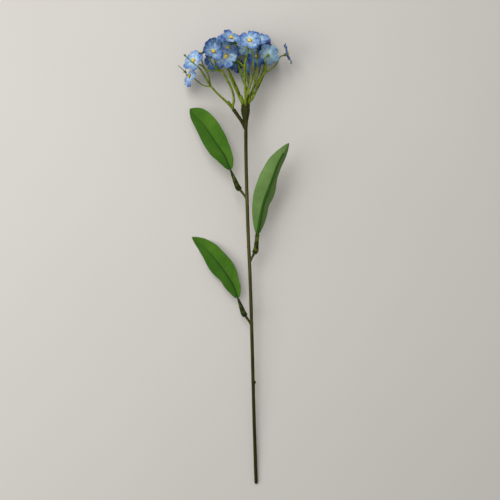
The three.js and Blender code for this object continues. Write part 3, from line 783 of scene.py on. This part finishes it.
def petal_height(number, petal, along, across, rim):
    """How far the cloth stands over the calyx rim: a shallow dish with a crease and a wavy rim."""
    share = along / PETAL_LENGTH
    radius = math.hypot(along, across)
    phase = 2.4 * number + 1.9 * petal
    dish = DISH_RISE * (max(0, radius - HOLE_RADIUS) / (PETAL_LENGTH - HOLE_RADIUS)) ** 0.75
    cup = CUP_RISE * (abs(across) / PETAL_HALF_WIDTH) ** 1.8 * smooth(along, 1.5, 6)
    bend = BLOOMS[number - 1].bend + FOLDED_PETALS.get((number, petal), 0)
    lift = (bend + 1.1 * math.sin(phase)) * max(0, share - NOTCH_SHARE) / (1 - NOTCH_SHARE)
    crease = math.exp(-((across / 0.6) ** 2)) * smooth(along, 2, 5) * fade(along, 8, 12.6)
    folds = FOLD_HEIGHT * math.cos(2.3 * across) * smooth(along, 4, 8)
    edge = (1 - rim) ** 3
    ruffle = RUFFLE_HEIGHT * edge * math.sin(1.05 * across + 2.1 * phase) * smooth(share, 0.3, 0.8)
    curl = CURL_HEIGHT * math.sin(1.7 * phase + 1) * edge * smooth(share, 0.6, 1)
    rough = noise.noise(Vector((along * 0.26, across * 0.26, 5 * phase)))
    crumple = CRUMPLE_HEIGHT * rough * smooth(along, 4, 9)
    return dish + cup + lift - CREASE_DEPTH * crease + folds + ruffle + curl + crumple


def corolla(number, paleness):
    """The five-petalled cloth, facing +Z, with its hole over the calyx rim at the origin."""
    columns = 32
    rows = 17
    shell = Shell("reach", "across", "rim", "tone", "back")
    sector = 2 * math.pi / PETAL_COUNT
    loops = []
    for petal in range(PETAL_COUNT):
        # tone: the bloom's paleness, which carries painted shade for shaded blooms and painted light
        # for a backlit one, varied a little per petal
        tone = clamp(paleness + 0.16 * math.sin(5.1 * number + 2.3 * petal))
        for column in range(columns):
            around = 2 * column / columns - 1
            edge_along, edge_across = petal_edge(abs(around))
            waver = 1 + 0.018 * math.sin(7 * around + 3 * petal + number) * (1 - abs(around))
            edge = Vector((edge_along * PETAL_LENGTH * waver,
                           math.copysign(edge_across * PETAL_HALF_WIDTH, around)))
            hole = Vector((math.cos(around * sector / 2), math.sin(around * sector / 2)))
            front = []
            rear = []
            for row in range(rows + 1):
                share = (row / rows) ** 0.85
                flat = (hole * HOLE_RADIUS).lerp(edge, share)
                rise = petal_height(number, petal, flat.x, flat.y, 1 - share)
                turned = flat.copy()
                turned.rotate(Matrix.Rotation(petal * sector, 2))
                values = (flat.x / PETAL_LENGTH, flat.y, 1 - share, tone)
                front.append((Vector((*turned, rise + CLOTH_FRONT)), *values, 0))
                rear.append((Vector((*turned, rise + CLOTH_BACK)), *values, 1))
            loops.append([*reversed(rear), *front])
    shell.skin(loops, is_ring=True)
    return shell


def eye(is_threaded):
    """The bead in the middle of a bloom: five soft lobes round a slender point or a bore."""
    inner = THREADED_BORE_RADIUS if is_threaded else 0.02
    profile = [(inner, EYE_BASE), (1.5, EYE_BASE), (2.1, 1.5), (2.45, 1.9), (EYE_RADIUS, 2.35),
               (2.4, 2.85), (2.1, 3.3), (1.7, 3.55)]
    if is_threaded:
        profile += [(1.4, 3.6), (inner, 3.45)]
    else:
        profile += [(1.3, 3.6), (1.0, 3.75), (0.75, 4.1), (0.55, 4.7), (0.42, 5.3), (0.28, 5.9),
                    (0.14, 6.25), (inner, EYE_POINT)]
    shell = Shell("rise")
    loops = []
    for angle in angles_round(40):
        loop = []
        for radius, height in profile:
            bulge = smooth(radius, 0.8, 2.2)
            lobe = 1 + 0.09 * bulge * math.cos(5 * angle) + 0.03 * bulge * math.cos(11 * angle + height)
            reach = radius * lobe
            place = Vector((reach * math.cos(angle), reach * math.sin(angle), height))
            loop.append((place, (height - EYE_BASE) / (EYE_POINT - EYE_BASE)))
        loops.append(loop)
    shell.skin(loops, is_ring=True)
    return shell


def stance_of(way):
    """What turns +Z to a way."""
    return Vector((0, 0, 1)).rotation_difference(way).to_matrix()


def set_in_place(shell, bloom):
    """Moves a shell made facing +Z at the origin onto its bloom's calyx."""
    turn = Euler((0, 0, math.radians(bloom.turn))).to_matrix()
    stance = stance_of(way_of(bloom.faces)) @ turn
    shell.spots = [(Vector(bloom.rim) + stance @ spot[0], *spot[1:]) for spot in shell.spots]
    return shell


def make_blooms():
    cloth = petal_paint()
    plastic = eye_paint()
    for number, bloom in enumerate(BLOOMS, 1):
        petals = set_in_place(corolla(number, bloom.paleness), bloom)
        bead = set_in_place(eye(number == SLID_BLOOM), bloom)
        place_piece(f"bloom_{number:02}_petals", petals.mesh("petals"), cloth,
                    f"corolla_{number:02}")
        place_piece(f"bloom_{number:02}_eye", bead.mesh("eye"), plastic,
                    f"eye_{number:02}")


# Sprays

def calyx(at, way, size, spread):
    """A cup of five pointed sepals, spread at the tips: loops of its wall from outside to inside."""
    stance = stance_of(way)
    shoulder = -1
    shoulder_radius = 2.02
    wall = [(-4.6, 0.8), (-3.6, 0.98), (-2.7, 1.4), (-1.8, 1.8), (shoulder, shoulder_radius)]
    loops = []
    for angle in angles_round(40):
        tooth = 0.5 + 0.5 * math.cos(SEPAL_COUNT * angle)
        tip_height = blend(shoulder, 0.35, tooth ** 1.6)
        tip_radius = blend(2.05, 2.35 + spread, tooth ** 1.6)
        pinch = 1 - 0.07 * (1 - tooth)
        outside = [(height, radius * (pinch if height > -3 else 1)) for height, radius in wall]
        outside.append((blend(shoulder, tip_height, 0.5), blend(shoulder_radius, tip_radius, 0.45)))
        outside.append((tip_height, tip_radius))
        inside = [(tip_height, tip_radius - 0.3), (-1.2, 1.62), (-1.9, 1.3), (-2, 0.5), (-4.4, 0.4)]
        loop = []
        for height, radius in [*outside, *inside]:
            flat = Vector((radius * math.cos(angle), radius * math.sin(angle), height))
            loop.append((at + stance @ flat * size,))
        loops.append(loop)
    return loops


def stalk_stations(bloom, points):
    """A stalk that runs on into its calyx cup and the thin pin that the bloom is threaded on."""
    rim, way = Vector(bloom.rim), way_of(bloom.faces)
    line = smooth_line([*points, rim - way * NECK_LENGTH, rim - way * CALYX_LENGTH])
    stations = tapered(line, STALK_RADIUS * 1.05, TIP_RADIUS * 1.08)
    stations += [(rim - way * 2.9, 1.25), (rim - way * 1.9, 1.5), (rim - way * 0.9, 1.4),
                 (rim - way * 0.6, PIN_RADIUS), (rim + way * PIN_HEIGHT, PIN_RADIUS)]
    return stations


def bare_stations(points):
    """A stalk that ends in an empty knob."""
    line = smooth_line(points)
    last = len(line) - 1
    stations = []
    for step, place in enumerate(line):
        stations.append((place, blend(LIMB_RADIUS, TIP_RADIUS, min(1, 1.4 * step / last))))
    way = (line[last] - line[last - 1]).normalized()
    knob = [(0.6, 1.05), (1.2, 1.5), (1.9, 1.55), (2.5, 1.25), (2.9, 0.9), (3.2, 0.45)]
    for distance, radius in knob:
        stations.append((line[last] + way * distance, radius))
    return stations


def threaded_stations(points):
    """The stalk that the slid bloom is threaded on."""
    line = smooth_line(points, 12)
    bloom_at = Vector(BLOOMS[SLID_BLOOM - 1].rim)
    stations = []
    for step, place in enumerate(line):
        radius = blend(STALK_RADIUS, PIN_RADIUS, min(1, 2 * step / len(line)))
        stations.append((place, PIN_RADIUS if (place - bloom_at).length < 3 else radius * 1.05))
    return stations


def root_stations(mouth, way):
    """The root in its bore and the hub over it, from which the stalks part."""
    return [
        (mouth + way * (0.3 - ROOT_DEPTH), ROOT_RADIUS),
        (mouth + way * 0.2, ROOT_RADIUS),
        (mouth + way * 0.9, HUB_RADIUS * 0.93),
        (mouth + way * 4, HUB_RADIUS),
        (mouth + way * 8, HUB_RADIUS * 0.92),
        (mouth + way * 13, HUB_RADIUS * 0.5),
    ]


def spray_body(name):
    """A spray's root, limbs and stalks, as skins that overlap."""
    parts = SPRAYS[name]
    mouth, way = SEATS[name]
    body = Shell()
    body.skin(rings_along(root_stations(Vector(mouth), way_of(way)), LIMB_SIDES))
    for points in parts["limbs"]:
        line = smooth_line(points)
        body.skin(rings_along(tapered(line, LIMB_RADIUS + 0.2, LIMB_RADIUS - 0.15), LIMB_SIDES))
        body.skin(knuckle(points[-1], LIMB_RADIUS + 0.25, (line[-1] - line[-2]).normalized()))
    for number, points in parts["stalks"].items():
        body.skin(rings_along(stalk_stations(BLOOMS[number - 1], points), STALK_SIDES))
    if "bare" in parts:
        body.skin(rings_along(bare_stations(parts["bare"]), STALK_SIDES))
        body.skin(rings_along(threaded_stations(parts["threaded"]), STALK_SIDES))
    return body


def spray_cups(name):
    """A spray's calyx cups, with the small empty one on the threaded stalk."""
    parts = SPRAYS[name]
    cups = Shell()
    for number in parts["stalks"]:
        bloom = BLOOMS[number - 1]
        cups.skin(calyx(Vector(bloom.rim), way_of(bloom.faces), 1, 0), is_ring=True)
    if "threaded" in parts:
        start, end = (Vector(point) for point in parts["threaded"][-2:])
        way = (end - start).normalized()
        cups.skin(calyx(start + Vector((0, 0, 0.3)), way, 0.9, 1.2), is_ring=True)
    return cups


def make_sprays():
    paint = spray_paint()
    for name in SPRAYS:
        body = moulded(spray_body(name), SPRAY_GRAIN)
        cups = spray_cups(name).mesh("cups")
        place_piece(f"{name}_stalks", joined([body, cups]), paint, name)


# Main stem

def stem_section(number, angle):
    """The faint ridges and dents of the stem's plastic."""
    ridges = 0.025 * math.cos(5 * angle + 0.02 * number)
    dents = 0.05 * noise.noise(Vector((math.cos(angle), math.sin(angle), 0.11 * number)))
    return 1 + ridges + dents


def crown_section(number, angle):
    """Lengthwise flutes that deepen towards the crown's rim."""
    return 1 + 0.018 * number * math.cos(6 * angle + 0.6) + 0.008 * number * math.cos(11 * angle)


def stem_loops():
    """The long stem with its rounded cut end."""
    line = smooth_line(STEM_LINE, 40)
    way = (line[1] - line[0]).normalized()
    stations = [
        (line[0] - way * 1.7, STEM_RADIUS * 0.3),
        (line[0] - way * 1.6, STEM_RADIUS * 0.75),
        (line[0] - way * 1.1, STEM_RADIUS * 0.93),
    ]
    stations += [(place, STEM_RADIUS) for place in line]
    return rings_along(stations, 32, stem_section)


def crown_loops():
    """The crown that widens from the stem to the rim that the sprays are seated in."""
    crown = Vector(CROWN_CENTRE)
    foot = Vector(STEM_LINE[-2])
    return rings_along([
        (foot - Vector((0, 4, 0.4)), STEM_RADIUS * 0.9),
        (foot, STEM_RADIUS * 1.02),
        (crown + Vector((0.2, -8, -0.7)), 3.2),
        (crown, CROWN_RADIUS * 0.88),
        (crown + Vector((0, CROWN_LENGTH * 0.6, 0.5)), CROWN_RADIUS),
        (crown + Vector((0, CROWN_LENGTH, 0.8)), CROWN_RADIUS * 0.97),
    ], 24, crown_section)


def stub_loops(start, end, radius):
    """A small nub on the stem."""
    start, end = Vector(start), Vector(end)
    stations = [(start, radius), (start.lerp(end, 0.8), radius), (end, radius * 0.7)]
    return rings_along(stations, LIMB_SIDES)


def collar_loops(mouth, way):
    """The raised collar round a spray's root."""
    mouth, way = Vector(mouth), way_of(way)
    return rings_along([
        (mouth - way * (ROOT_DEPTH + 2), COLLAR_RADIUS * 0.9),
        (mouth - way * 1.2, COLLAR_RADIUS),
        (mouth - way * 0.2, COLLAR_RADIUS * 0.98),
        (mouth, COLLAR_RADIUS * 0.85),
    ], 18)


def peg_loops(leaf):
    """The short side peg that a leaf's sheath is pushed on to."""
    joint, mouth = Vector(leaf["joint"]), Vector(leaf["mouth"])
    way = (mouth - joint).normalized()
    return rings_along([
        (joint, PEG_RADIUS * 1.6),
        (joint + way * 3, PEG_RADIUS * 1.4),
        (joint.lerp(mouth, 0.5), PEG_RADIUS * 1.2),
        (mouth - way * 1.6, PEG_RADIUS * 1.4),
        (mouth - way * 0.8, PEG_RADIUS * 1.3),
        (mouth - way * 0.3, PEG_RADIUS),
        (mouth + way * (SOCKET_DEPTH - 0.5), PEG_RADIUS),
    ], LIMB_SIDES)


def main_stem():
    """The long stem, and all that grows from it fused into one."""
    long_stem = Shell()
    long_stem.skin(stem_loops())
    growths = Shell()
    growths.skin(crown_loops())
    branch = smooth_line(BRANCH_LINE)
    growths.skin(rings_along(tapered(branch, STEM_RADIUS * 0.92, COLLAR_RADIUS), 18))
    for stub in STUBS:
        growths.skin(stub_loops(*stub))
    for seat in SEATS.values():
        growths.skin(collar_loops(*seat))
    for leaf in LEAVES:
        growths.skin(peg_loops(leaf))
    return joined([long_stem.mesh("long_stem"), moulded(growths, STEM_GRAIN)])


# Leaves

def half_width(widths, share):
    """The half width at a share of the length. The base swells fast and the tip is pointed."""
    place = clamp(share) * (len(widths) - 1)
    step = min(int(place), len(widths) - 2)
    before = widths[max(step - 1, 0)]
    start, end = widths[step], widths[step + 1]
    after = widths[min(step + 2, len(widths) - 1)]
    leave = (end - before) / 2
    arrive = (after - start) / 2
    if step == 0:
        leave = 1.4 * (end - start)
    if step == len(widths) - 2:
        arrive = 1.5 * (end - start)
    return cubic(start, end, leave, arrive, place - step)


def blade_relief(number, along, share, side, width, half):
    """How far a spot of the cloth stands out, and how much of a side vein it is."""
    slant = (along - 1.5 * width ** 0.9 - 1.2 * number) / VEIN_SPACING
    vein = math.exp(-((abs(slant - round(slant)) / 0.09) ** 2)) * smooth(abs(side), 0.03, 0.2)
    vein *= fade(abs(side), 0.75, 0.97)
    quilt = QUILT_HEIGHT * math.cos(2 * math.pi * slant) * smooth(abs(side), 0.05, 0.4)
    groove = GROOVE_DEPTH * math.exp(-((width / 0.9) ** 2)) * fade(share, 0.75, 0.97)
    return -VEIN_DEPTH * vein - quilt * smooth(half, 1, 8) - groove, vein


def leaf_blade(leaf, number):
    """A cloth blade: rows of spots across it, front and back, from base to tip."""
    rows = 110
    columns = 20
    route = Route(leaf["rib"])
    front_way = way_of(leaf["front"])
    shell = Shell("along", "across", "back", "vein")
    loops = []
    for row in range(rows + 1):
        share = row / rows
        middle = route.at(share)
        way = route.way(share)
        right = way.cross(front_way).normalized()
        up = right.cross(way).normalized()
        flatness = smooth(share, leaf["flat_from"] - 0.06, leaf["flat_from"] + 0.02)
        along = share * route.length
        front = []
        rear = []
        for column in range(-columns, columns + 1):
            side = column / columns
            is_left = side < 0
            half = max(0.12, half_width(leaf["left" if is_left else "right"], share))
            width = abs(side) * half
            fold = math.radians(leaf["fold"][0 if is_left else 1])
            ripple = leaf["wave"] * abs(side) * math.sin(9 * share + (0 if is_left else 2))
            relief, vein = blade_relief(number, along, share, side, width, half)
            rise = width * math.sin(fold) + ripple * smooth(half, 0, 4)
            edge_curl = EDGE_CURL * math.sin(5 * share + 2 * number + side) * smooth(abs(side), 0.6, 1)
            bent = middle + right * math.copysign(width * math.cos(fold), side)
            bent += up * (rise + (relief + edge_curl) * smooth(half, 0.5, 5))
            flat = middle + right * math.copysign(width, side)
            flat.z = 0.8 + relief * 0.5
            place = bent.lerp(flat, flatness)
            lean = (up * math.cos(fold) - right * math.copysign(math.sin(fold), side)).normalized()
            thickness_way = lean.lerp(Vector((0, 0, 1)), flatness)
            values = (along, math.copysign(width, side))
            front.append((place - thickness_way * BLADE_FRONT, *values, 0, vein))
            rear.append((place - thickness_way * BLADE_BACK, *values, 1, vein))
        loops.append([*front, *reversed(rear)])
    shell.skin(loops)
    return shell


def rib_stations(leaf, route):
    """The rib behind the blade, thinning towards the tip."""
    front_way = way_of(leaf["front"])
    stations = []
    count = 40
    for step in range(count + 1):
        share = leaf["rib_end"] * step / count
        radius = blend(*leaf["rib_radii"], share)
        way = route.way(share)
        up = way.cross(front_way).cross(way).normalized()
        stations.append((route.at(share) - up * (BLADE_BACK + 0.1 + radius * 0.8), radius))
    return stations


def sheath_stations(leaf, rib_start, rib_way):
    """The sheath round the peg, with its bulb, and the neck that runs on into the rib."""
    joint, mouth = Vector(leaf["joint"]), Vector(leaf["mouth"])
    way = (mouth - joint).normalized()
    bulb = mouth + way * SOCKET_DEPTH
    neck = rib_start - rib_way * 2
    places = [mouth, mouth + way * 0.8, mouth + way * 1.8, bulb, bulb.lerp(neck, 0.35),
              bulb.lerp(neck, 0.7), neck, rib_start]
    neck_radius = leaf["rib_radii"][0] * 1.15
    radii = [2.3, 3.3, 3.4, BULB_RADIUS, max(3, neck_radius * 1.15), max(2.2, neck_radius * 1.05),
             neck_radius * 1.1]
    steps = 6
    stations = []
    for step, place in enumerate(smooth_line(places, steps)[:-1]):
        span = min(step // steps, len(radii) - 2)
        part = smooth(step - steps * span, 0, steps)
        if (place - rib_start).length > 1.2:
            stations.append((place, blend(radii[span], radii[span + 1], part)))
    return stations


def leaf_socket(leaf):
    """The moulded leaf stalk: a ridged, knobbly sheath and the rib behind the blade."""
    route = Route(leaf["rib"])
    ribs = rib_stations(leaf, route)
    sheath = sheath_stations(leaf, ribs[0][0], route.way(0))
    sheath_end = len(sheath)

    def ridged(number, angle):
        still_sheath = clamp(1 - number / sheath_end)
        knobs = 0.07 * noise.noise(Vector((2 * math.cos(angle), 2 * math.sin(angle), 0.35 * number)))
        return 1 + still_sheath * (0.09 * math.cos(4 * angle + 0.05 * number) + knobs)

    shell = Shell("rib")
    loops = []
    for number, loop in enumerate(rings_along([*sheath, *ribs], 24, ridged)):
        rib = smooth(number, sheath_end - 4, sheath_end + 4)
        loops.append([(*spot, rib) for spot in loop])
    shell.skin(loops)
    return shell


def make_leaves():
    cloth = leaf_paint()
    plastic = socket_paint()
    for number, leaf in enumerate(LEAVES, 1):
        place_piece(f"leaf_{number}_blade", leaf_blade(leaf, number).mesh("blade"), cloth,
                    f"leaf_blade_{number}")
        place_piece(f"leaf_{number}_socket", leaf_socket(leaf).mesh("socket"), plastic,
                    f"leaf_socket_{number}")


# Stage, lights and camera

def make_stage():
    """The wide surface under the spray, in metres."""
    mesh = bpy.data.meshes.new("floor")
    reach = 3
    corners = [(-reach, -reach, 0), (reach, -reach, 0), (reach, reach, 0), (-reach, reach, 0)]
    mesh.from_pydata(corners, [], [(0, 1, 2, 3)])
    mesh.materials.append(floor_paint())
    floor = add_object("floor", mesh)


def add_light(name, place, target, size, power):
    data = bpy.data.lights.new(name, "AREA")
    data.size = size
    data.energy = power
    light = add_object(name, data)
    light.location = place
    aim = Vector(target) - Vector(place)
    light.rotation_euler = aim.to_track_quat("-Z", "Y").to_euler()


def make_lights():
    for light in LIGHTS:
        add_light(*light)
    world = bpy.data.worlds.new("studio")
    world.use_nodes = True
    backdrop = world.node_tree.nodes["Background"]
    backdrop.inputs["Color"].default_value = ROOM_COLOUR
    backdrop.inputs["Strength"].default_value = ROOM_STRENGTH
    bpy.context.scene.world = world
    bpy.context.scene.view_settings.view_transform = "Standard"


def make_camera():
    """Straight over the spray, with the photograph's framing."""
    distance = CAMERA_PLACE[2] - SCALED_LEVEL
    data = bpy.data.cameras.new("camera")
    data.sensor_width = SENSOR_WIDTH
    data.lens = SENSOR_WIDTH * distance / (MM_PER_PIXEL * IMAGE_SIZE)
    camera = add_object("camera", data)
    camera.location = Vector(CAMERA_PLACE) * MM
    bpy.context.scene.camera = camera


make_camera()
make_stage()
make_lights()
place_piece("stem_with_crown", main_stem(), stem_paint(), "main_stem")
make_sprays()
make_blooms()
make_leaves()
